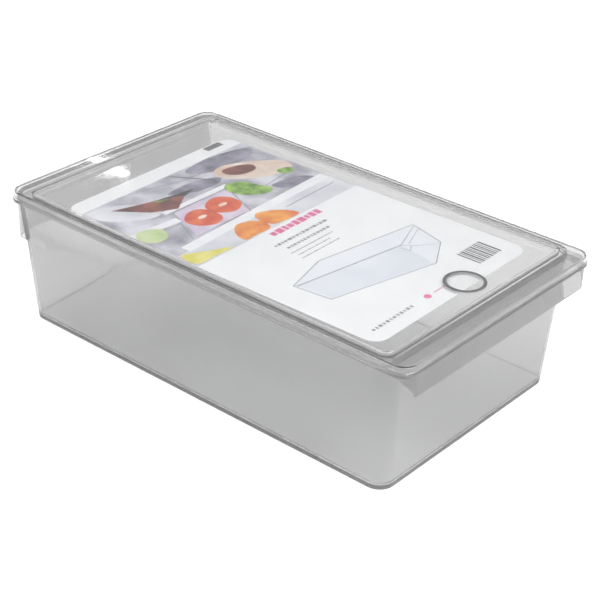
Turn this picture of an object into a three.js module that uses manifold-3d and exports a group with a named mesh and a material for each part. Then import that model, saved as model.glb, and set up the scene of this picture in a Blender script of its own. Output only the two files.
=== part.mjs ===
// Clear fridge bin with a lift-off lid, in millimetres, +Z up.
// +X is the end with the pull grip. The origin is the centre of the footprint, on the surface below.
import * as THREE from 'three';
import { mergeVertices } from 'three/addons/utils/BufferGeometryUtils.js';
import Module from 'manifold-3d';

const wasm = await Module();
wasm.setup();

// Overall size
const LENGTH = 372;            // over the two end flanges
const WIDTH = 214;             // over the rim ledge
const ARC_STEPS = 6;           // segments in each rounded corner

// Tub: a drafted box, open at the top
const FLOOR_LEFT = -178;       // outer floor edge at the back end
const FLOOR_RIGHT = 165;       // outer floor edge at the grip end
const FLOOR_HALF_WIDTH = 96.5;
const MOUTH_LEFT = -182.5;     // outer wall at the mouth, back end
const MOUTH_RIGHT = 171.2;     // outer wall at the mouth, grip end
const MOUTH_HALF_WIDTH = 103.5;
const MOUTH_Z = 104.5;         // top of the wall, inside the lid's channel
const TUB_CORNER = 12;
const WALL = 2;
const FLOOR_THICKNESS = 2;

// Rim ledge that the lid stands on
const LEDGE_LOW = 99.2;
const LEDGE_TOP = 101.4;
const LEDGE_CORNER = 12;

// Down-turned flanges under the ledge, one at each end
const FLANGE_HALF_WIDTH = 101.5;
const FLANGE_CORNER = 9;
const FLANGE_WALL = 1.6;
const FLANGE_ROOT = 150;       // how far inward the flange blank starts, measured from the middle
const GRIP_LOW = 83.3;         // lower edge of the pull grip, +X end
const BACK_LOW = 67.4;         // lower edge of the back flange, -X end
const GUSSET_TOP = 95;         // where the grip's end gussets leave the tub wall

// Lid: a panel sunk inside a raised hollow rim
const LID_LENGTH = 370;
const LID_WIDTH = 210.7;
const LID_CORNER = 10.5;
const LID_LOW = LEDGE_TOP + 0.3;
const LID_TOP = 107.2;
const LID_WALL = 1.4;
const RIM_THICKNESS = 1.8;     // top of the raised rim, and its inner web
const PANEL_TOP = 103.2;
const PANEL_LEFT = -169;
const PANEL_RIGHT = 164;
const PANEL_HALF_WIDTH = 97;
const PANEL_CORNER = 6;

// Printed card held against the lid's underside
const CARD_LENGTH = 286;
const CARD_WIDTH = 175;
const CARD_CORNER = 11;
const CARD_THICKNESS = 0.4;
const CARD_TOP = LID_LOW - 0.4;
const CARD_CENTRE = [3.2, -2.2];
const CARD_TURN = THREE.MathUtils.degToRad(1.2);

// Round clear seal on top of the lid panel
const SEAL_DIAMETER = 30;
const SEAL_THICKNESS = 0.4;
const SEAL_GAP = 0.3;
const SEAL_CENTRE = [141, 16];

const PAST = 5;                // how far a cutting block runs past the face it opens

function plan(left, right, halfWidth, corner) {
  return { left, right, halfWidth, corner };
}

function roundedOutline({ left, right, halfWidth, corner }) {
  const shape = new THREE.Shape();
  shape.moveTo(right, -halfWidth + corner);
  shape.absarc(right - corner, halfWidth - corner, corner, 0, Math.PI / 2);
  shape.absarc(left + corner, halfWidth - corner, corner, Math.PI / 2, Math.PI);
  shape.absarc(left + corner, -halfWidth + corner, corner, Math.PI, 1.5 * Math.PI);
  shape.absarc(right - corner, -halfWidth + corner, corner, 1.5 * Math.PI, 2 * Math.PI);
  return shape;
}

function extruded(shape, depth) {
  return new THREE.ExtrudeGeometry(shape, { depth, bevelEnabled: false, curveSegments: ARC_STEPS });
}

// A straight-sided block with rounded vertical corners.
function block(outline, low, high) {
  const geometry = extruded(roundedOutline(outline), high - low);
  geometry.translate(0, 0, low);
  return geometry;
}

// A block whose plan changes evenly from one outline at the bottom to another at the top.
function draftedBlock(bottom, top, low, high) {
  const geometry = block(bottom, low, high);
  const position = geometry.attributes.position;
  const stretch = (top.right - top.left) / (bottom.right - bottom.left);
  const spread = top.halfWidth / bottom.halfWidth;
  for (let i = 0; i < position.count; i += 1) {
    if (position.getZ(i) > (low + high) / 2) {
      position.setX(i, top.left + (position.getX(i) - bottom.left) * stretch);
      position.setY(i, position.getY(i) * spread);
    }
  }
  return geometry;
}

function solid(geometry) {
  const bare = geometry.clone();
  bare.deleteAttribute('normal');
  bare.deleteAttribute('uv');
  const merged = mergeVertices(bare, 1e-4);
  const vertProperties = new Float32Array(merged.attributes.position.array);
  const triVerts = new Uint32Array(merged.index.array);
  return new wasm.Manifold(new wasm.Mesh({ numProp: 3, vertProperties, triVerts }));
}

function toGeometry(manifold) {
  const mesh = manifold.getMesh();
  const geometry = new THREE.BufferGeometry();
  geometry.setAttribute('position', new THREE.BufferAttribute(new Float32Array(mesh.vertProperties), 3));
  geometry.setIndex(new THREE.BufferAttribute(new Uint32Array(mesh.triVerts), 1));
  geometry.computeVertexNormals();
  return geometry;
}

// Plan of the tub's outer wall at a height, drawn in by inset on every side.
function tubPlan(z, inset) {
  const share = z / MOUTH_Z;
  const left = THREE.MathUtils.lerp(FLOOR_LEFT, MOUTH_LEFT, share) + inset;
  const right = THREE.MathUtils.lerp(FLOOR_RIGHT, MOUTH_RIGHT, share) - inset;
  const halfWidth = THREE.MathUtils.lerp(FLOOR_HALF_WIDTH, MOUTH_HALF_WIDTH, share) - inset;
  return plan(left, right, halfWidth, TUB_CORNER - inset);
}

// A flange hangs from the ledge at one end. side is 1 for the grip end and -1 for the back end.
function flangeShell(side, low) {
  const outer = LENGTH / 2;
  const inner = outer - FLANGE_WALL;
  const ends = (reach) => (side > 0 ? [FLANGE_ROOT, reach] : [-reach, -FLANGE_ROOT]);
  const skin = plan(...ends(outer), FLANGE_HALF_WIDTH, FLANGE_CORNER);
  const gap = plan(...ends(inner), FLANGE_HALF_WIDTH - FLANGE_WALL, FLANGE_CORNER - FLANGE_WALL);
  const shell = solid(block(skin, low, LEDGE_TOP));
  return shell.subtract(solid(block(gap, low - PAST, LEDGE_LOW)));
}

// Cuts the grip's end gussets along a quarter ellipse, from high on the wall to the lip's lower edge.
function gussetCutter() {
  const wallX = MOUTH_RIGHT;
  const lipX = LENGTH / 2 - FLANGE_WALL;
  const profile = new THREE.Shape();
  profile.moveTo(FLANGE_ROOT - PAST, GRIP_LOW - PAST);
  profile.lineTo(lipX, GRIP_LOW - PAST);
  profile.lineTo(lipX, GRIP_LOW);
  profile.absellipse(wallX, GRIP_LOW, lipX - wallX, GUSSET_TOP - GRIP_LOW, 0, Math.PI / 2, false, 0);
  profile.lineTo(FLANGE_ROOT - PAST, GUSSET_TOP);
  profile.closePath();
  const geometry = extruded(profile, WIDTH);
  geometry.rotateX(Math.PI / 2);
  geometry.translate(0, WIDTH / 2, 0);
  return solid(geometry);
}

function binGeometry() {
  const wall = solid(draftedBlock(tubPlan(0, 0), tubPlan(MOUTH_Z, 0), 0, MOUTH_Z));
  const inside = [FLOOR_THICKNESS, MOUTH_Z + PAST];
  const cavity = solid(draftedBlock(...inside.map((z) => tubPlan(z, WALL)), ...inside));
  const ledgePlan = plan(-LENGTH / 2, LENGTH / 2, WIDTH / 2, LEDGE_CORNER);
  const ledge = solid(block(ledgePlan, LEDGE_LOW, LEDGE_TOP));
  const grip = flangeShell(1, GRIP_LOW).subtract(gussetCutter());
  const back = flangeShell(-1, BACK_LOW);
  return toGeometry(wall.add(ledge).add(grip).add(back).subtract(cavity));
}

function lidGeometry() {
  const half = LID_LENGTH / 2;
  const outer = plan(-half, half, LID_WIDTH / 2, LID_CORNER);
  const skirt = plan(-half + LID_WALL, half - LID_WALL, LID_WIDTH / 2 - LID_WALL, LID_CORNER - LID_WALL);
  const panel = plan(PANEL_LEFT, PANEL_RIGHT, PANEL_HALF_WIDTH, PANEL_CORNER);
  const web = plan(
    PANEL_LEFT - RIM_THICKNESS,
    PANEL_RIGHT + RIM_THICKNESS,
    PANEL_HALF_WIDTH + RIM_THICKNESS,
    PANEL_CORNER + RIM_THICKNESS,
  );
  const recess = solid(block(panel, PANEL_TOP, LID_TOP + PAST));
  const channelHigh = LID_TOP - RIM_THICKNESS;
  const channel = solid(block(skirt, LID_LOW - PAST, channelHigh))
    .subtract(solid(block(web, LID_LOW - 2 * PAST, channelHigh + PAST)));
  return toGeometry(solid(block(outer, LID_LOW, LID_TOP)).subtract(recess).subtract(channel));
}

function cardGeometry() {
  const outline = plan(-CARD_LENGTH / 2, CARD_LENGTH / 2, CARD_WIDTH / 2, CARD_CORNER);
  return block(outline, -CARD_THICKNESS, 0);
}

function sealGeometry() {
  const geometry = new THREE.CylinderGeometry(SEAL_DIAMETER / 2, SEAL_DIAMETER / 2, SEAL_THICKNESS, 48);
  geometry.rotateX(Math.PI / 2);
  return geometry;
}

function part(name, geometry, color, roughness) {
  const mesh = new THREE.Mesh(geometry, new THREE.MeshStandardMaterial({ color, roughness, metalness: 0 }));
  mesh.name = name;
  return mesh;
}

const bin = part('bin', binGeometry(), 0xd2d4d4, 0.08);

const lid = part('lid', lidGeometry(), 0xdadcdc, 0.06);

const insertCard = part('insert_card', cardGeometry(), 0xf2f3f5, 0.55);
insertCard.position.set(...CARD_CENTRE, CARD_TOP);
insertCard.rotation.z = CARD_TURN;

const roundSeal = part('round_seal', sealGeometry(), 0x8c8e90, 0.25);
roundSeal.position.set(...SEAL_CENTRE, PANEL_TOP + SEAL_GAP + SEAL_THICKNESS / 2);

// Everything that lifts away together
const lidAssembly = new THREE.Group();
lidAssembly.add(lid, insertCard, roundSeal);

const fridgeBin = new THREE.Group();
fridgeBin.add(bin, lidAssembly);

export default fridgeBin;
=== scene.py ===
"""Looks of the clear lidded fridge bin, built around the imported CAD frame.

Metres, +Z up. +X is the end with the pull grip.
"""
import math

import bmesh
import bpy
from mathutils import Matrix, Quaternion, Vector


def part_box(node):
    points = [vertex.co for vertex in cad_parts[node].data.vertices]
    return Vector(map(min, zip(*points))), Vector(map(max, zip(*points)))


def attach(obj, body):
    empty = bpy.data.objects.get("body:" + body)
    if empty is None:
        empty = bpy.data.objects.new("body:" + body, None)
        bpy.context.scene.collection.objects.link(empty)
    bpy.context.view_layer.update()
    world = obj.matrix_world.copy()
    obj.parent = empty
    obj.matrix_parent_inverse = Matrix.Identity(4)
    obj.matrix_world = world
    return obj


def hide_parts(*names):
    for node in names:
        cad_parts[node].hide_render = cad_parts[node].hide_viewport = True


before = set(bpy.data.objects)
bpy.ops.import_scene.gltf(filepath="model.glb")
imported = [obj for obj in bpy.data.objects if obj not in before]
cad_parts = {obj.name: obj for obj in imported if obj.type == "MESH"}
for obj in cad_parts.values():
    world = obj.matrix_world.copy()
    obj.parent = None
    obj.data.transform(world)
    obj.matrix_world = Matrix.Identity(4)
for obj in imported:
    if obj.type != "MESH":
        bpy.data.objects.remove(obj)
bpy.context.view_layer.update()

MM = 0.001
LID_BODY = "lid_body"
BIN_BODY = "bin_body"

BIN_LOW, BIN_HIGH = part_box("bin")
LID_LOW, LID_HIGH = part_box("lid")
CARD_LOW, CARD_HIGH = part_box("insert_card")
SEAL_LOW, SEAL_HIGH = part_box("round_seal")

CORNER_STEPS = 14              # segments in each rounded plan corner
EDGE_STEPS = 4                 # segments in each rounded edge of a section
SHARP_ANGLE = math.radians(38)
LEAST_CORNER = 0.5 * MM        # no plan corner is tighter than this

# Tub
WALL = 2 * MM
FLOOR_THICKNESS = 2 * MM
FLOOR_LEFT = -178 * MM
FLOOR_RIGHT = 165 * MM
FLOOR_HALF_WIDTH = 96.5 * MM
MOUTH_LEFT = -182.5 * MM
MOUTH_RIGHT = 171.2 * MM
MOUTH_HALF_WIDTH = 103.5 * MM
TUB_CORNER = 12 * MM
LEDGE_LOW = 99.2 * MM
LEDGE_TOP = 101.4 * MM

# Rounding of the tub's edges, in the order of its section, from the foot to the floor inside
FOOT_ROUND = 0.7 * MM
LEDGE_ROOT_ROUND = 0.8 * MM
LEDGE_ROUND = 0.45 * MM
WALL_ROOT_ROUND = 0.5 * MM
MOUTH_ROUND = 0.35 * MM
FLOOR_ROUND = 4 * MM

FLAT_MARGIN = 1.5 * MM         # from the corner of a section to where its flat stretch starts
WALL_ROOT_MARGIN = 1.2 * MM
FLOOR_MARGIN = 8 * MM          # from the wall to the cap that closes the floor

# Flanges
FLANGE_HALF_WIDTH = 101.5 * MM
FLANGE_CORNER = 9 * MM
FLANGE_WALL = 1.6 * MM
GRIP_LOW = 83.3 * MM
BACK_LOW = 67.4 * MM
GUSSET_TOP = 95 * MM
FLANGE_ROOT = 150 * MM
FLANGE_SETBACK = 0.12 * MM     # keeps the flange's face just behind the ledge's
FLANGE_STEPS = 16              # segments along each of its short sides
CORE_HEIGHTS = (20 * MM, 120 * MM)         # of the block that keeps a flange out of the tub's inside

# Lid
LID_CORNER = 10.5 * MM
LID_WALL = 1.4 * MM
RIM_THICKNESS = 1.8 * MM
PANEL_TOP = 103.2 * MM
PANEL = (-169 * MM, 164 * MM, 97 * MM, 6 * MM)     # left, right, half width, corner

# Rounding of the lid's edges, in the order of its section, from the web's foot to the panel
WEB_FOOT_ROUND = 0.8 * MM
CHANNEL_ROUND = 0.6 * MM
SKIRT_ROUND = 0.5 * MM
RIM_ROUND = 1.3 * MM
PANEL_EDGE_ROUND = 0.5 * MM
PANEL_FOOT_ROUND = 0.6 * MM

RIM_OUTER_MARGIN = 2.5 * MM    # from the rim's outer and inner edges to its flat top
RIM_INNER_MARGIN = 2.2 * MM
UNDERSIDE_MARGIN = 6 * MM      # from the panel's edges to the caps that close it, below and above
PANEL_MARGIN = 4 * MM

# Card and seal
CARD_SIZE = Vector((286, 175, 0.4)) * MM
CARD_TURN = math.radians(1.2)
CARD_CORNER = 11 * MM
CARD_EDGE = 0.1 * MM           # width of the card's and the ring's bevelled edges
RING_LIP = 0.05 * MM
FILM_THICKNESS = 0.25 * MM
RING_WIDTH = 2.4 * MM
RING_GAP = 0.02 * MM           # from the film to the ring
SEAL_STEPS = 72

# Print
INK_GAP = 0.01 * MM            # from the card to its lowest printed layer
INK_STEP = 0.03 * MM           # height of one printed layer above the one below
INK_THICKNESS = 0.02 * MM

# Clear plastic
TINT = ((0.955, 0.955, 0.95), (0.985, 0.985, 0.985))
GLOSS_ROUGHNESS = (0.015, 0.06)
BODY_GREY = (0.50, 0.505, 0.495)
CLOUD_SCALE = 9.0              # noise scales, per metre: tint, gloss and the waves in the surface
GRAIN_SCALE = 60.0
FLOW_SCALE = 22.0
FLOW_STRENGTH = 0.08
FLOW_DEPTH = 1.0 * MM
RIB_SPACING = 2.6 * MM         # fine tool lines across the tub's floor
RIB_TOP = 4 * MM
RIB_STRENGTH = 0.25
RIB_DEPTH = 0.2 * MM
WAVE_LENGTH = 0.314            # one band of the wave texture at a scale of 1, in metres

# Share of haze, the haze's colour, and how strongly the body absorbs light, per metre
TUB_HAZE, TUB_MILK, TUB_DENSITY = 0.23, (0.31, 0.31, 0.307), 22.0
LID_HAZE, LID_MILK, LID_DENSITY = 0.05, (0.4, 0.4, 0.4), 26.0
FILM_HAZE, FILM_MILK, FILM_DENSITY = 0.01, (0.9, 0.9, 0.9), 10.0

# The tub is cloudier in its grip, beyond the wall. The end wall's lip, over the ledge, gets far more of the
# grey haze: painted shade, a dark band along the top of that wall
GRIP_HAZE = 0.36
GRIP_START = MOUTH_RIGHT + 0.3 * MM
# Haze share in the end wall's lip, over the ledge: its grey paints a dark band of shade there
LIP_SHADE_HAZE = 0.7
SHADED_LIP_START = MOUTH_RIGHT - WALL - 0.5 * MM
SHADED_LIP_LOW = LEDGE_TOP + 0.1 * MM


# ---------------------------------------------------------------- camera, floor and light

CAMERA_AZIMUTH = math.radians(40.24)
CAMERA_ELEVATION = math.radians(29.44)
CAMERA_ROLL = math.radians(1.47)
CAMERA_DISTANCE = 1.159
CAMERA_AIM = Vector((0, 0, 0.04))
CAMERA_SLIDE = (0.0075, 0.0012)
CAMERA_LENS = 94.56
CAMERA_SENSOR = 36

HORIZON = (0.06, (0.13, 0.13, 0.135))      # height on the sky, and its colour there
OVERHEAD = (0.6, (0.66, 0.66, 0.67))

# Lamps: name, place, target, width, depth and power in watts
SOFTBOXES = (
    ("key_softbox", (-0.5, -0.9, 1.7), (0, 0, 0), 1.4, 1.0, 14.5),
    ("top_softbox", (0.3, 0.7, 1.8), (0, 0, 0), 1.6, 1.0, 16),
)
LOW_FILLS = (
    ("grip_end_fill", (1.6, 0.3, 0.7), (0, 0, 0.05), 0.5, 1.2, 5),
    ("near_fill", (0.85, -1.3, 0.35), (0.05, -0.1, 0.04), 0.9, 0.5, 9),
)
GLINT_STRIP = ("glint_strip", (-1.224, 0.879, 0.727), (-0.186, -0.028, 0.103), 0.15, 0.008, 0.055)
GLINT_TURN = math.radians(-20)

FLOOR_REACH = 4.0
FLOOR_DROP = 0.4 * MM
FLOOR_WHITE = 0.93
FLOOR_ROUGHNESS = 0.9
FLOOR_GLOW = 0.14              # a little light of its own, which keeps the paper white


def make_camera():
    a, e, r = CAMERA_AZIMUTH, CAMERA_ELEVATION, CAMERA_ROLL
    back = Vector((math.sin(a) * math.cos(e), -math.cos(a) * math.cos(e), math.sin(e)))
    level = Vector((math.cos(a), math.sin(a), 0))
    rise = back.cross(level)
    right = math.cos(r) * level + math.sin(r) * rise
    up = math.cos(r) * rise - math.sin(r) * level
    place = CAMERA_AIM + back * CAMERA_DISTANCE + right * CAMERA_SLIDE[0] + up * CAMERA_SLIDE[1]
    data = bpy.data.cameras.new("camera")
    data.lens = CAMERA_LENS
    data.sensor_width = CAMERA_SENSOR
    camera = bpy.data.objects.new("camera", data)
    bpy.context.collection.objects.link(camera)
    camera.matrix_world = Matrix.Translation(place) @ Matrix((right, up, back)).transposed().to_4x4()
    bpy.context.scene.camera = camera


def area_light(name, place, target, width, depth, power, turn=0.0):
    data = bpy.data.lights.new(name, "AREA")
    data.shape = "RECTANGLE"
    data.size = width
    data.size_y = depth
    data.energy = power
    light = bpy.data.objects.new(name, data)
    bpy.context.collection.objects.link(light)
    light.location = place
    aim = (Vector(target) - Vector(place)).to_track_quat("-Z", "Y")
    light.rotation_euler = (aim @ Quaternion((0, 0, 1), turn)).to_euler()
    return light


def make_world():
    world = bpy.data.worlds.new("studio")
    world.use_nodes = True
    bpy.context.scene.world = world
    nodes, links = world.node_tree.nodes, world.node_tree.links
    background = nodes["Background"]
    coordinates = nodes.new("ShaderNodeTexCoord")
    split = nodes.new("ShaderNodeSeparateXYZ")
    ramp = nodes.new("ShaderNodeValToRGB")
    links.new(coordinates.outputs["Generated"], split.inputs[0])
    links.new(split.outputs["Z"], ramp.inputs[0])
    for element, (height, colour) in zip(ramp.color_ramp.elements, (HORIZON, OVERHEAD)):
        element.position = height
        element.color = (*colour, 1)
    links.new(ramp.outputs[0], background.inputs["Color"])
    background.inputs["Strength"].default_value = 1.0


def make_floor():
    r = FLOOR_REACH
    corners = [Vector((x, y, -FLOOR_DROP)) for x, y in ((-r, -r), (r, -r), (r, r), (-r, r))]
    mesh = bpy.data.meshes.new("floor")
    mesh.from_pydata(corners, [], [(0, 1, 2, 3)])
    floor = bpy.data.objects.new("floor", mesh)
    bpy.context.collection.objects.link(floor)
    paper = bpy.data.materials.new("floor_paper")
    paper.use_nodes = True
    shader = paper.node_tree.nodes["Principled BSDF"]
    shader.inputs["Base Color"].default_value = (FLOOR_WHITE, FLOOR_WHITE, FLOOR_WHITE, 1)
    shader.inputs["Roughness"].default_value = FLOOR_ROUGHNESS
    shader.inputs["Emission Color"].default_value = (1, 1, 1, 1)
    shader.inputs["Emission Strength"].default_value = FLOOR_GLOW
    mesh.materials.append(paper)


def make_studio():
    """Soft lamps over a pale floor. The low fills don't show in reflections or through the plastic."""
    bpy.context.scene.view_settings.view_transform = "Standard"
    bpy.context.scene.view_settings.look = "None"
    make_world()
    for lamp in SOFTBOXES:
        area_light(*lamp)
    for lamp in LOW_FILLS:
        fill = area_light(*lamp)
        fill.visible_glossy = False
        fill.visible_transmission = False
    area_light(*GLINT_STRIP, GLINT_TURN)
    make_floor()


# ---------------------------------------------------------------- materials

def fresh_material(name):
    material = bpy.data.materials.new(name)
    material.use_nodes = True
    return material, material.node_tree.nodes, material.node_tree.links


def noise(nodes, links, scale, detail=3.0):
    place = nodes.new("ShaderNodeTexCoord")
    texture = nodes.new("ShaderNodeTexNoise")
    texture.inputs["Scale"].default_value = scale
    texture.inputs["Detail"].default_value = detail
    links.new(place.outputs["Object"], texture.inputs["Vector"])
    return texture


def ramp_between(nodes, links, source, first, second, low=0.35, high=0.65):
    ramp = nodes.new("ShaderNodeValToRGB")
    ramp.color_ramp.elements[0].position = low
    ramp.color_ramp.elements[0].color = (*first, 1)
    ramp.color_ramp.elements[1].position = high
    ramp.color_ramp.elements[1].color = (*second, 1)
    links.new(source, ramp.inputs[0])
    return ramp


def combined(nodes, links, operation, *values):
    """A Math node's result. Each value is a number or another node's output."""
    node = nodes.new("ShaderNodeMath")
    node.operation = operation
    for socket, value in zip(node.inputs, values):
        if isinstance(value, (int, float)):
            socket.default_value = value
        else:
            links.new(value, socket)
    return node.outputs[0]


def split_place(nodes, links):
    place = nodes.new("ShaderNodeTexCoord")
    split = nodes.new("ShaderNodeSeparateXYZ")
    links.new(place.outputs["Object"], split.inputs[0])
    return place, split


def floor_ribs(nodes, links):
    """Fine tool lines across the moulding, only near the floor."""
    place, split = split_place(nodes, links)
    lines = nodes.new("ShaderNodeTexWave")
    lines.bands_direction = "X"
    lines.inputs["Scale"].default_value = WAVE_LENGTH / RIB_SPACING
    lines.inputs["Distortion"].default_value = 0.6
    links.new(place.outputs["Object"], lines.inputs["Vector"])
    low_down = combined(nodes, links, "LESS_THAN", split.outputs["Z"], RIB_TOP)
    return combined(nodes, links, "MULTIPLY", lines.outputs["Fac"], low_down)


def tub_haze_and_shade(nodes, links):
    """Share of haze over the tub: more in the pull grip, most in the top of the end wall under the lid, where
    the grey haze is painted shade.
    """
    split = split_place(nodes, links)[1]
    in_grip = combined(nodes, links, "GREATER_THAN", split.outputs["X"], GRIP_START)
    # The end wall's lip over the ledge: its extra grey haze is painted shade, a dark band along the wall's
    # top
    at_end = combined(nodes, links, "GREATER_THAN", split.outputs["X"], SHADED_LIP_START)
    over_ledge = combined(nodes, links, "GREATER_THAN", split.outputs["Z"], SHADED_LIP_LOW)
    in_shaded_lip = combined(nodes, links, "MULTIPLY", at_end, over_ledge)
    base = combined(nodes, links, "MULTIPLY_ADD", in_grip, GRIP_HAZE - TUB_HAZE, TUB_HAZE)
    return combined(nodes, links, "MULTIPLY_ADD", in_shaded_lip, LIP_SHADE_HAZE - TUB_HAZE, base)


def bumped(nodes, links, height, strength, depth, under=None):
    """A bump from the given height, on top of another bump if one is given."""
    bump = nodes.new("ShaderNodeBump")
    bump.inputs["Strength"].default_value = strength
    bump.inputs["Distance"].default_value = depth
    links.new(height, bump.inputs["Height"])
    if under:
        links.new(under.outputs[0], bump.inputs["Normal"])
    return bump


def glass_shader(nodes, links, bend, ribbed):
    """The clear part of the plastic: a faint tint, uneven gloss and slow waves in the surface."""
    glass = nodes["Principled BSDF"]
    glass.inputs["Transmission Weight"].default_value = 1.0
    glass.inputs["IOR"].default_value = bend
    cloud = noise(nodes, links, CLOUD_SCALE)
    colour = ramp_between(nodes, links, cloud.outputs["Fac"], *TINT)
    links.new(colour.outputs[0], glass.inputs["Base Color"])
    grain = noise(nodes, links, GRAIN_SCALE)
    rough = nodes.new("ShaderNodeMapRange")
    rough.inputs["To Min"].default_value = GLOSS_ROUGHNESS[0]
    rough.inputs["To Max"].default_value = GLOSS_ROUGHNESS[1]
    links.new(grain.outputs["Fac"], rough.inputs["Value"])
    links.new(rough.outputs[0], glass.inputs["Roughness"])
    flow = noise(nodes, links, FLOW_SCALE, 2.0)
    surface = bumped(nodes, links, flow.outputs["Fac"], FLOW_STRENGTH, FLOW_DEPTH)
    if ribbed:
        surface = bumped(nodes, links, floor_ribs(nodes, links), RIB_STRENGTH, RIB_DEPTH, surface)
    links.new(surface.outputs[0], glass.inputs["Normal"])
    return glass


def clear_plastic(name, haze, milk_colour, density, lets_through=0.96, bend=1.5, ribbed=False):
    """Moulded clear plastic: glass with a grey body and a little haze, which lets lamps through.

    haze is a share, or a function that makes nodes for one. bend is the refractive index.
    """
    material, nodes, links = fresh_material(name)
    glass = glass_shader(nodes, links, bend, ribbed)
    milk = nodes.new("ShaderNodeBsdfTranslucent")
    milk.inputs["Color"].default_value = (*milk_colour, 1)
    body = nodes.new("ShaderNodeMixShader")
    if callable(haze):
        links.new(haze(nodes, links), body.inputs[0])
    else:
        body.inputs[0].default_value = haze
    links.new(glass.outputs[0], body.inputs[1])
    links.new(milk.outputs[0], body.inputs[2])
    passing = nodes.new("ShaderNodeBsdfTransparent")
    passing.inputs["Color"].default_value = (lets_through, lets_through, lets_through, 1)
    path = nodes.new("ShaderNodeLightPath")
    lamp = combined(nodes, links, "MAXIMUM", path.outputs["Is Shadow Ray"], path.outputs["Is Diffuse Ray"])
    choice = nodes.new("ShaderNodeMixShader")
    links.new(lamp, choice.inputs[0])
    links.new(body.outputs[0], choice.inputs[1])
    links.new(passing.outputs[0], choice.inputs[2])
    links.new(choice.outputs[0], nodes["Material Output"].inputs["Surface"])
    grey = nodes.new("ShaderNodeVolumeAbsorption")
    grey.inputs["Color"].default_value = (*BODY_GREY, 1)
    grey.inputs["Density"].default_value = density
    links.new(grey.outputs[0], nodes["Material Output"].inputs["Volume"])
    return material


def printed_ink(name, first, second, scale=120.0, roughness=0.42):
    """A printed colour on coated card, mottled between two close tones."""
    material, nodes, links = fresh_material(name)
    shader = nodes["Principled BSDF"]
    mottle = noise(nodes, links, scale)
    colour = ramp_between(nodes, links, mottle.outputs["Fac"], first, second)
    links.new(colour.outputs[0], shader.inputs["Base Color"])
    shader.inputs["Roughness"].default_value = roughness
    shader.inputs["Coat Weight"].default_value = 0.15
    return material


# ---------------------------------------------------------------- mesh building

def finish_mesh(name, bm, materials):
    bmesh.ops.recalc_face_normals(bm, faces=bm.faces)
    mesh = bpy.data.meshes.new(name)
    bm.to_mesh(mesh)
    bm.free()
    for material in materials:
        mesh.materials.append(material)
    piece = bpy.data.objects.new(name, mesh)
    bpy.context.collection.objects.link(piece)
    return piece


def smooth(piece):
    mesh = piece.data
    mesh.polygons.foreach_set("use_smooth", [True] * len(mesh.polygons))
    mesh.set_sharp_from_angle(angle=SHARP_ANGLE)


def ring_points(plan, z):
    """Points round a rounded rectangle, given as (left, right, half width, corner radius)."""
    left, right, half, corner = plan
    centres = (
        (right - corner, half - corner, 0),
        (left + corner, half - corner, 1),
        (left + corner, -half + corner, 2),
        (right - corner, -half + corner, 3),
    )
    points = []
    for x, y, quarter in centres:
        for step in range(CORNER_STEPS + 1):
            turn = (quarter + step / CORNER_STEPS) * math.pi / 2
            points.append(Vector((x + corner * math.cos(turn), y + corner * math.sin(turn), z)))
    return points


def grown(plan, by):
    left, right, half, corner = plan
    return (left - by, right + by, half + by, max(corner + by, LEAST_CORNER))


def station(plan, z):
    """One row of a loft: a plan at a height."""
    return (*plan, z)


def rounded_section(stations):
    """Rounds the corners of a section. Each entry is (station, radius), measured in half width and z."""
    half_width, height = 2, 4
    out = []
    count = len(stations)
    for i, (here, radius) in enumerate(stations):
        if radius == 0 or i in (0, count - 1):
            out.append(here)
            continue
        before, after = stations[i - 1][0], stations[i + 1][0]

        def toward(other):
            length = math.hypot(other[half_width] - here[half_width], other[height] - here[height])
            share = min(radius / length, 0.5)
            return [h + (o - h) * share for h, o in zip(here, other)]

        start, end = toward(before), toward(after)
        for step in range(EDGE_STEPS + 1):
            t = step / EDGE_STEPS
            out.append(tuple(
                (1 - t) ** 2 * s + 2 * t * (1 - t) * h + t * t * e
                for s, h, e in zip(start, here, end)
            ))
    return out


def lofted(name, stations, materials=()):
    """A closed body through a row of rounded rectangles, capped at its two ends."""
    bm = bmesh.new()
    rings = [[bm.verts.new(p) for p in ring_points(s[:4], s[4])] for s in stations]
    count = len(rings[0])
    for low, high in zip(rings, rings[1:]):
        for i in range(count):
            j = (i + 1) % count
            bm.faces.new((low[i], low[j], high[j], high[i]))
    bm.faces.new(rings[0])
    bm.faces.new(rings[-1])
    return finish_mesh(name, bm, materials)


def turned(name, centre, outline, steps, material, closed=False):
    """A body turned about the vertical through centre. Points of outline are (radius, z)."""
    bm = bmesh.new()
    rows = []
    for radius, z in outline:
        if radius == 0:
            rows.append([bm.verts.new((centre.x, centre.y, z))] * steps)
            continue
        row = []
        for i in range(steps):
            turn = 2 * math.pi * i / steps
            x, y = centre.x + radius * math.cos(turn), centre.y + radius * math.sin(turn)
            row.append(bm.verts.new((x, y, z)))
        rows.append(row)
    pairs = list(zip(rows, rows[1:]))
    if closed:
        pairs.append((rows[-1], rows[0]))
    for low, high in pairs:
        for i in range(steps):
            j = (i + 1) % steps
            corners = []
            for corner in (low[i], low[j], high[j], high[i]):
                if corner not in corners:
                    corners.append(corner)
            bm.faces.new(corners)
    piece = finish_mesh(name, bm, [material])
    smooth(piece)
    return piece


def boolean(target, tool, operation):
    """Joins tool to target or cuts it away, and deletes tool."""
    modifier = target.modifiers.new(operation.lower(), "BOOLEAN")
    modifier.operation = operation
    modifier.solver = "EXACT"
    modifier.object = tool
    graph = bpy.context.evaluated_depsgraph_get()
    result = bpy.data.meshes.new_from_object(target.evaluated_get(graph))
    target.modifiers.clear()
    target.data = result
    bpy.data.objects.remove(tool)


# ---------------------------------------------------------------- the tub

def lerp(a, b, share):
    return a + (b - a) * share


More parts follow.
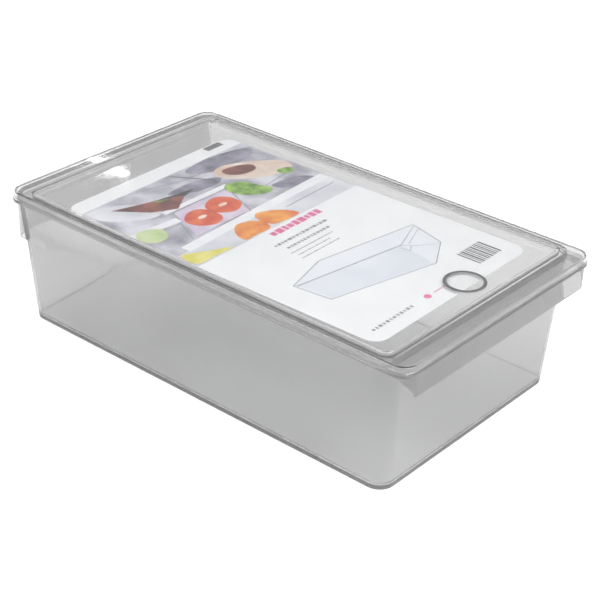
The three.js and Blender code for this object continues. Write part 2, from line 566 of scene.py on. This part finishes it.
def wall_plan(z, by=0.0):
    """Plan of the tub's outer wall at height z, grown outward by the given distance."""
    share = z / BIN_HIGH.z
    plan = (
        lerp(FLOOR_LEFT, MOUTH_LEFT, share),
        lerp(FLOOR_RIGHT, MOUTH_RIGHT, share),
        lerp(FLOOR_HALF_WIDTH, MOUTH_HALF_WIDTH, share),
        TUB_CORNER,
    )
    return grown(plan, by)


def tub_section():
    ledge = (BIN_LOW.x, BIN_HIGH.x, BIN_HIGH.y, TUB_CORNER)
    mouth = BIN_HIGH.z
    foot = FLOOR_THICKNESS
    return rounded_section([
        (station(wall_plan(0, -FLOOR_MARGIN), 0), 0),
        (station(wall_plan(0), 0), FOOT_ROUND),
        (station(wall_plan(LEDGE_LOW), LEDGE_LOW), LEDGE_ROOT_ROUND),
        (station(wall_plan(LEDGE_LOW, FLAT_MARGIN), LEDGE_LOW), 0),
        (station(grown(ledge, -FLAT_MARGIN), LEDGE_LOW), 0),
        (station(ledge, LEDGE_LOW), LEDGE_ROUND),
        (station(ledge, LEDGE_TOP), LEDGE_ROUND),
        (station(grown(ledge, -FLAT_MARGIN), LEDGE_TOP), 0),
        (station(wall_plan(LEDGE_TOP, WALL_ROOT_MARGIN), LEDGE_TOP), 0),
        (station(wall_plan(LEDGE_TOP), LEDGE_TOP), WALL_ROOT_ROUND),
        (station(wall_plan(mouth), mouth), MOUTH_ROUND),
        (station(wall_plan(mouth, -WALL), mouth), MOUTH_ROUND),
        (station(wall_plan(foot, -WALL), foot), FLOOR_ROUND),
        (station(wall_plan(foot, -WALL - FLOOR_MARGIN), foot), 0),
    ])


def gusset_low(x):
    """Lower edge of the grip's end gussets: a quarter ellipse from high on the wall down to the lip."""
    lip = BIN_HIGH.x - FLANGE_WALL
    along = (x - MOUTH_RIGHT) / (lip - MOUTH_RIGHT)
    along = min(max(along, 0.0), 1.0)
    return GRIP_LOW + (GUSSET_TOP - GRIP_LOW) * math.sqrt(1 - along * along)


def flange_path(root):
    """Mid-line of a flange seen from above, with its outward direction, for the +X end."""
    corner = FLANGE_CORNER - FLANGE_WALL / 2
    reach = BIN_HIGH.x - FLANGE_SETBACK - FLANGE_WALL / 2
    side = FLANGE_HALF_WIDTH - FLANGE_WALL / 2
    path = []
    for i in range(FLANGE_STEPS):
        x = lerp(root, reach - corner, i / FLANGE_STEPS)
        path.append((Vector((x, -side, 0)), Vector((0, -1, 0))))
    for quarter, y in ((3, -side + corner), (0, side - corner)):
        for i in range(CORNER_STEPS + 1):
            turn = (quarter + i / CORNER_STEPS) * math.pi / 2
            out = Vector((math.cos(turn), math.sin(turn), 0))
            path.append((Vector((reach - corner, y, 0)) + out * corner, out))
    for i in range(1, FLANGE_STEPS + 1):
        x = lerp(reach - corner, root, i / FLANGE_STEPS)
        path.append((Vector((x, side, 0)), Vector((0, 1, 0))))
    return path


def make_flange(name, side, low_at):
    """A down-turned flange: a thin wall swept round one end, with its top buried in the ledge.

    side is 1 for the grip end and -1 for the back end, and low_at(x) is the height of its lower edge.
    """
    half = FLANGE_WALL / 2
    top = (LEDGE_LOW + LEDGE_TOP) / 2
    bm = bmesh.new()
    sections = []
    for place, out in flange_path(FLANGE_ROOT):
        low = low_at(place.x)
        section = [(half, top), (half, low + half)]
        for i in range(1, EDGE_STEPS * 2):
            turn = math.pi * i / (EDGE_STEPS * 2)
            section.append((half * math.cos(turn), low + half - half * math.sin(turn)))
        section += [(-half, low + half), (-half, top)]
        points = [place + out * d + Vector((0, 0, z)) for d, z in section]
        sections.append([bm.verts.new(Vector((p.x * side, p.y, p.z))) for p in points])
    count = len(sections[0])
    for here, after in zip(sections, sections[1:]):
        for i in range(count):
            j = (i + 1) % count
            bm.faces.new((here[i], here[j], after[j], after[i]))
    bm.faces.new(sections[0])
    bm.faces.new(sections[-1])
    flange = finish_mesh(name, bm, ())
    core = lofted("core", [station(wall_plan(z, -WALL / 2), z) for z in CORE_HEIGHTS])
    boolean(flange, core, "DIFFERENCE")
    return flange


def make_tub():
    tub = lofted("clear_bin", tub_section())
    boolean(tub, make_flange("grip_flange", 1, gusset_low), "UNION")
    boolean(tub, make_flange("back_flange", -1, lambda x: BACK_LOW), "UNION")
    plastic = clear_plastic("clear_bin_plastic", tub_haze_and_shade, TUB_MILK, TUB_DENSITY, ribbed=True)
    tub.data.materials.clear()
    tub.data.materials.append(plastic)
    smooth(tub)
    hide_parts("bin")
    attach(tub, BIN_BODY)


# ---------------------------------------------------------------- the lid

def lid_section():
    outer = (LID_LOW.x, LID_HIGH.x, LID_HIGH.y, LID_CORNER)
    low, high = LID_LOW.z, LID_HIGH.z
    ceiling = high - RIM_THICKNESS
    web = grown(PANEL, RIM_THICKNESS)
    inner_skirt = grown(outer, -LID_WALL)
    return rounded_section([
        (station(grown(web, -UNDERSIDE_MARGIN), low), 0),
        (station(web, low), WEB_FOOT_ROUND),
        (station(web, ceiling), CHANNEL_ROUND),
        (station(grown(web, FLAT_MARGIN), ceiling), 0),
        (station(grown(inner_skirt, -FLAT_MARGIN), ceiling), 0),
        (station(inner_skirt, ceiling), CHANNEL_ROUND),
        (station(inner_skirt, low), SKIRT_ROUND),
        (station(outer, low), SKIRT_ROUND),
        (station(outer, high), RIM_ROUND),
        (station(grown(outer, -RIM_OUTER_MARGIN), high), 0),
        (station(grown(PANEL, RIM_INNER_MARGIN), high), 0),
        (station(PANEL, high), PANEL_EDGE_ROUND),
        (station(PANEL, PANEL_TOP), PANEL_FOOT_ROUND),
        (station(grown(PANEL, -PANEL_MARGIN), PANEL_TOP), 0),
    ])


def make_lid():
    plastic = clear_plastic("clear_lid_plastic", LID_HAZE, LID_MILK, LID_DENSITY)
    lid = lofted("clear_lid", lid_section(), [plastic])
    smooth(lid)
    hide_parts("lid")
    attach(lid, LID_BODY)


# ---------------------------------------------------------------- card and seal

def card_place():
    centre = (CARD_LOW + CARD_HIGH) / 2
    return Matrix.Translation((centre.x, centre.y, CARD_HIGH.z)) @ Matrix.Rotation(CARD_TURN, 4, "Z")


def make_card():
    size = CARD_SIZE
    plan = (-size.x / 2, size.x / 2, size.y / 2, CARD_CORNER)
    white = printed_ink("card_white", (0.90, 0.91, 0.93), (0.94, 0.95, 0.96), 40.0)
    card = lofted("printed_card", [
        station(grown(plan, -CARD_EDGE), -size.z),
        station(plan, -size.z + CARD_EDGE),
        station(plan, -CARD_EDGE),
        station(grown(plan, -CARD_EDGE), 0),
    ], [white])
    smooth(card)
    card.matrix_world = card_place()
    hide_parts("insert_card")
    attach(card, LID_BODY)


def make_seal():
    """A clear film, with a grey ring near its edge."""
    centre = (SEAL_LOW + SEAL_HIGH) / 2
    radius = (SEAL_HIGH.x - SEAL_LOW.x) / 2
    film_top = SEAL_LOW.z + FILM_THICKNESS
    disc = ((0, SEAL_LOW.z), (radius, SEAL_LOW.z), (radius, film_top), (0, film_top))
    clear = clear_plastic(
        "seal_film_plastic", FILM_HAZE, FILM_MILK, FILM_DENSITY, lets_through=0.995, bend=1.12)
    grey = printed_ink("seal_grey", (0.10, 0.102, 0.105), (0.14, 0.143, 0.146), 300.0, 0.35)
    film = turned("round_seal_film", centre, disc, SEAL_STEPS, clear)
    inner, lip = radius - RING_WIDTH, RING_LIP
    low, high = film_top + RING_GAP, SEAL_HIGH.z
    band = ((inner, low), (radius - lip, low), (radius, low + lip), (radius - lip, high), (inner + lip, high))
    ring = turned("round_seal_ring", centre, band, SEAL_STEPS, grey, closed=True)
    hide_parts("round_seal")
    for piece in (film, ring):
        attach(piece, LID_BODY)


# ---------------------------------------------------------------- the print on the card

# Places on the card are (u, v) in millimetres from its middle: u runs along the bin, v across it.

def ellipse(u, v, half_u, half_v, steps=32):
    turns = [2 * math.pi * i / steps for i in range(steps)]
    return [(u + half_u * math.cos(t), v + half_v * math.sin(t)) for t in turns]


def bar(u, v, length_u, length_v):
    du, dv = length_u / 2, length_v / 2
    return [(u - du, v - dv), (u + du, v - dv), (u + du, v + dv), (u - du, v + dv)]


def curved(points, steps=6):
    """A closed smooth outline through the points."""
    out = []
    count = len(points)
    for i in range(count):
        a, b, c, d = (Vector(points[(i + k) % count]) for k in (-1, 0, 1, 2))
        for step in range(steps):
            t = step / steps
            place = 0.5 * (2 * b + (c - a) * t + (2 * a - 5 * b + 4 * c - d) * t * t
                           + (3 * b - a - 3 * c + d) * t ** 3)
            out.append((place.x, place.y))
    return out


def stroke(points, width):
    """A line of the given width through the points: one quad for each stretch."""
    quads = []
    for here, after in zip(points, points[1:]):
        a, b = Vector(here), Vector(after)
        along = (b - a).normalized() * width / 2
        side = Vector((-along.y, along.x))
        start, end = a - along, b + along
        quads.append([tuple(p) for p in (start - side, end - side, end + side, start + side)])
    return quads


def dashes(u, v_start, v_end, height, lengths, gap):
    """A row of short bars that stands in for a line of small print."""
    out = []
    v = v_start
    i = 0
    while v + lengths[i % len(lengths)] <= v_end:
        length = lengths[i % len(lengths)]
        out.append(bar(u, v + length / 2, height * (1 if i % 3 else 0.8), length))
        v += length + gap
        i += 1
    return out


def print_piece(name, layer, outlines, material):
    """One printed colour: thin closed prisms, a hair above the layer below."""
    low = INK_STEP * layer + INK_GAP
    high = low + INK_THICKNESS
    bm = bmesh.new()
    for outline in outlines:
        rings = [[bm.verts.new((u * MM, v * MM, z)) for u, v in outline] for z in (low, high)]
        count = len(outline)
        for i in range(count):
            j = (i + 1) % count
            bm.faces.new((rings[0][i], rings[0][j], rings[1][j], rings[1][i]))
        bm.faces.new(rings[0])
        bm.faces.new(rings[1])
    piece = finish_mesh(name, bm, [material])
    piece.matrix_world = card_place()
    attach(piece, LID_BODY)


def print_shelves():
    """The picture end of the card, behind its fruit: pale fridge shelves and a clear box."""
    ground = printed_ink("ink_shelf_grey", (0.24, 0.24, 0.29), (0.74, 0.74, 0.81), 34.0)
    print_piece("print_picture_ground", 0, [bar(-69, 0, 116, 174.4)], ground)
    pale = printed_ink("ink_pale_shelf", (0.62, 0.64, 0.70), (0.84, 0.85, 0.89), 30.0)
    print_piece("print_lower_shelf", 1, [
        [(-31, -86.5), (-11.2, -86.5), (-11.2, 86.5), (-37, 86.5)],
        curved([(-124, -84), (-103, -80), (-84, -52), (-98, -40), (-120, -62)]),
    ], pale)
    dusk = printed_ink("ink_dusk", (0.13, 0.13, 0.17), (0.38, 0.37, 0.46), 60.0)
    print_piece("print_dusk", 1, [
        curved([(-124, 20), (-112, 22), (-104, 44), (-106, 74), (-116, 84), (-125, 60)]),
        curved([(-104, -20), (-92, -2), (-90, 20), (-97, 28), (-106, 6)]),
        curved([(-58, 44), (-44, 52), (-42, 78), (-54, 70)]),
    ], dusk)
    patch = printed_ink("ink_patch", (0.12, 0.12, 0.13), (0.20, 0.20, 0.22), 120.0)
    print_piece("print_strip_patch", 0, [bar(-138.5, 67, 6.5, 18)], patch)
    white = printed_ink("ink_shelf_white", (0.86, 0.87, 0.92), (0.94, 0.94, 0.96), 60.0)
    print_piece("print_shelf_edges", 2, [
        [(-38.5, -75), (-29.5, -75), (-35.5, 85.5), (-44.5, 85.5)],
        *stroke([(-84, -43), (-83, 19)], 5),
        *stroke([(-74, -86), (-70, -48)], 7),
    ], white)
    box = printed_ink("ink_box_tint", (0.60, 0.50, 0.66), (0.80, 0.72, 0.84), 70.0)
    print_piece("print_box_fill", 2, [[(-80, -39), (-79, 17), (-42, 2), (-43, -54)]], box)
    line = printed_ink("ink_box_line", (0.22, 0.22, 0.28), (0.34, 0.33, 0.40), 80.0)
    print_piece("print_box_lines", 3, [
        *stroke([(-80, -40), (-79, 18), (-41, 1)], 0.9),
        *stroke([(-124, -34), (-113, 2), (-108, 60)], 0.8),
        *stroke([(-68, -86), (-64, -48), (-41, -60)], 0.8),
        *stroke([(-26, 24), (-27, 80)], 0.9),
        *stroke([(-60, 34), (-66, 84)], 0.8),
    ], line)


def print_produce():
    """Fruit and vegetables in the picture."""
    red = printed_ink("ink_tomato", (0.62, 0.06, 0.02), (0.80, 0.17, 0.05), 90.0)
    print_piece("print_tomatoes", 4, [
        curved([(-72, -33), (-64, -44), (-52, -42), (-45, -31), (-49, -20), (-60, -18), (-70, -22)]),
        curved([(-75, -8), (-68, -18), (-56, -17), (-49, -6), (-54, 6), (-66, 8), (-74, 2)]),
    ], red)
    shine = printed_ink("ink_shine", (0.90, 0.62, 0.48), (0.97, 0.84, 0.76), 120.0)
    print_piece("print_tomato_shine", 5, [
        ellipse(-60, -30, 2.0, 4.2), ellipse(-63, -5, 2.0, 4.2),
    ], shine)
    wedge = printed_ink("ink_dark_red", (0.09, 0.03, 0.03), (0.36, 0.09, 0.06), 60.0)
    print_piece("print_dark_fruit", 3, [
        [(-115, -68), (-104, -36), (-93, -14), (-82, -32), (-92, -50)],
        curved([(-103, 38), (-95, 36), (-87, 44), (-86, 58), (-94, 62), (-101, 52)]),
    ], wedge)
    stem = printed_ink("ink_stem", (0.02, 0.02, 0.025), (0.10, 0.06, 0.06), 60.0)
    print_piece("print_fruit_edge", 4, [
        [(-112, -62), (-103, -32), (-97, 1), (-93, -13), (-104, -36)],
        *stroke([(-124, 4), (-96, 22)], 1.0),
    ], stem)
    green = printed_ink("ink_leaf", (0.07, 0.20, 0.03), (0.38, 0.62, 0.10), 110.0)
    print_piece("print_leaves", 4, [
        curved([(-84, 22), (-76, 14), (-62, 18), (-52, 30), (-54, 41), (-66, 38), (-78, 34)]),
        curved([(-73, 68), (-66, 66), (-62, 74), (-69, 79)]),
        curved([(-103, -40), (-100, -34), (-97, -26), (-101, -30)]),
    ], green)
    lime = printed_ink("ink_lime", (0.50, 0.64, 0.30), (0.66, 0.76, 0.44), 80.0)
    print_piece("print_lime", 4, [
        curved([(-76, -82), (-66, -87), (-56, -82), (-56, -70), (-66, -64), (-74, -70)]),
    ], lime)
    orange = printed_ink("ink_pepper", (0.74, 0.16, 0.02), (0.95, 0.42, 0.06), 70.0)
    print_piece("print_peppers", 4, [
        curved([(-33, -24), (-24, -34), (-13, -36), (-12.5, -24), (-12.5, -10), (-22, -6), (-30, -12)]),
        curved([(-35, 0), (-28, -6), (-16, -5), (-12.5, 4), (-12.5, 22), (-22, 20), (-30, 12)]),
    ], orange)
    yellow = printed_ink("ink_yellow", (0.72, 0.66, 0.08), (0.90, 0.84, 0.30), 70.0)
    print_piece("print_yellow_fruit", 4, [
        curved([(-30, -84), (-21, -66), (-12.5, -50), (-12.5, -68), (-13.5, -85)]),
    ], yellow)
    cream = printed_ink("ink_cream", (0.68, 0.50, 0.40), (0.90, 0.80, 0.70), 40.0)
    print_piece("print_pale_squash", 2, [
        curved([
            (-108, 36), (-99, 28), (-86, 34), (-72, 52), (-66, 72),
            (-72, 84), (-84, 82), (-98, 66), (-107, 50),
        ]),
    ], cream)


def print_rules():
    """Short bars on the white end of the card, which stand in for lines of print."""
    pink = printed_ink("ink_pink", (0.70, 0.10, 0.28), (0.82, 0.20, 0.40), 90.0)
    print_piece("print_pink_rule", 0, [
        *dashes(-4.5, -18, 38, 6.5, (4.6, 6.4, 3.4, 5.2), 1.2),
        ellipse(130, -16, 2.7, 2.9),
        *dashes(130, -9, 4, 1.1, (2.2, 1.4), 0.7),
    ], pink)
    grey = printed_ink("ink_grey", (0.24, 0.24, 0.26), (0.36, 0.36, 0.38), 90.0)
    print_piece("print_small_rules", 0, [
        *dashes(9, -30, 27, 2.8, (2.0, 3.4, 1.6, 2.6, 4.2), 1.1),
        *dashes(17, -26, 22, 2.8, (3.2, 1.8, 2.4), 1.1),
        *dashes(24, -30, 16, 1.3, (2.4, 1.2, 1.8), 0.9),
        *dashes(29, -28, 8, 1.3, (1.6, 2.6, 1.2), 0.9),
        *dashes(34, -30, 12, 1.3, (1.8, 1.2, 2.6), 0.9),
        *dashes(130, -76, -31, 2.8, (2.4, 1.5, 3.0, 1.9), 1.5),
    ], grey)


def print_drawing():
    """A line drawing of an open bin."""
    tint = printed_ink("ink_pale_blue", (0.82, 0.85, 0.91), (0.87, 0.89, 0.94), 30.0)
    shade = printed_ink("ink_front_shade", (0.73, 0.76, 0.84), (0.83, 0.86, 0.91), 24.0)
    outline = [(55, -65), (45, -26), (60, 63), (91, 54), (107, 26), (85, -62)]
    print_piece("print_drawing_tint", 0, [outline], tint)
    pen = printed_ink("ink_pen", (0.24, 0.26, 0.31), (0.40, 0.42, 0.47), 90.0)
    print_piece("print_drawing_front", 1, [[(58, -61), (73, 31), (105, 25), (84, -60)]], shade)
    print_piece("print_drawing_lines", 2, [
        *stroke(outline + outline[:1], 0.7),
        *stroke([(57, -63), (73, 31)], 1.1),
        *stroke([(73, 31), (62, 61)], 0.6),
        *stroke([(76, 36), (67, 60)], 0.4),
        *stroke([(73, 31), (79, 35), (92, 52)], 0.4),
        *stroke([(79, 35), (83, 29), (75, 27)], 0.5),
    ], pen)


def print_bars(u=120, v=46.0, count=11, length=20):
    """A column of evenly varied bars that encode nothing."""
    widths, gaps = (1.3, 0.9, 1.7, 1.0), (1.5, 1.0, 1.3)
    black = printed_ink("ink_black", (0.012, 0.012, 0.012), (0.03, 0.03, 0.03), 90.0)
    bars = []
    for i in range(count):
        width = widths[i % len(widths)]
        bars.append(bar(u, v + width / 2, length, width))
        v += width + gaps[i % len(gaps)]
    print_piece("print_bars", 0, bars, black)


make_camera()
make_studio()
make_tub()
make_lid()
make_card()
print_shelves()
print_produce()
print_rules()
print_drawing()
print_bars()
make_seal()
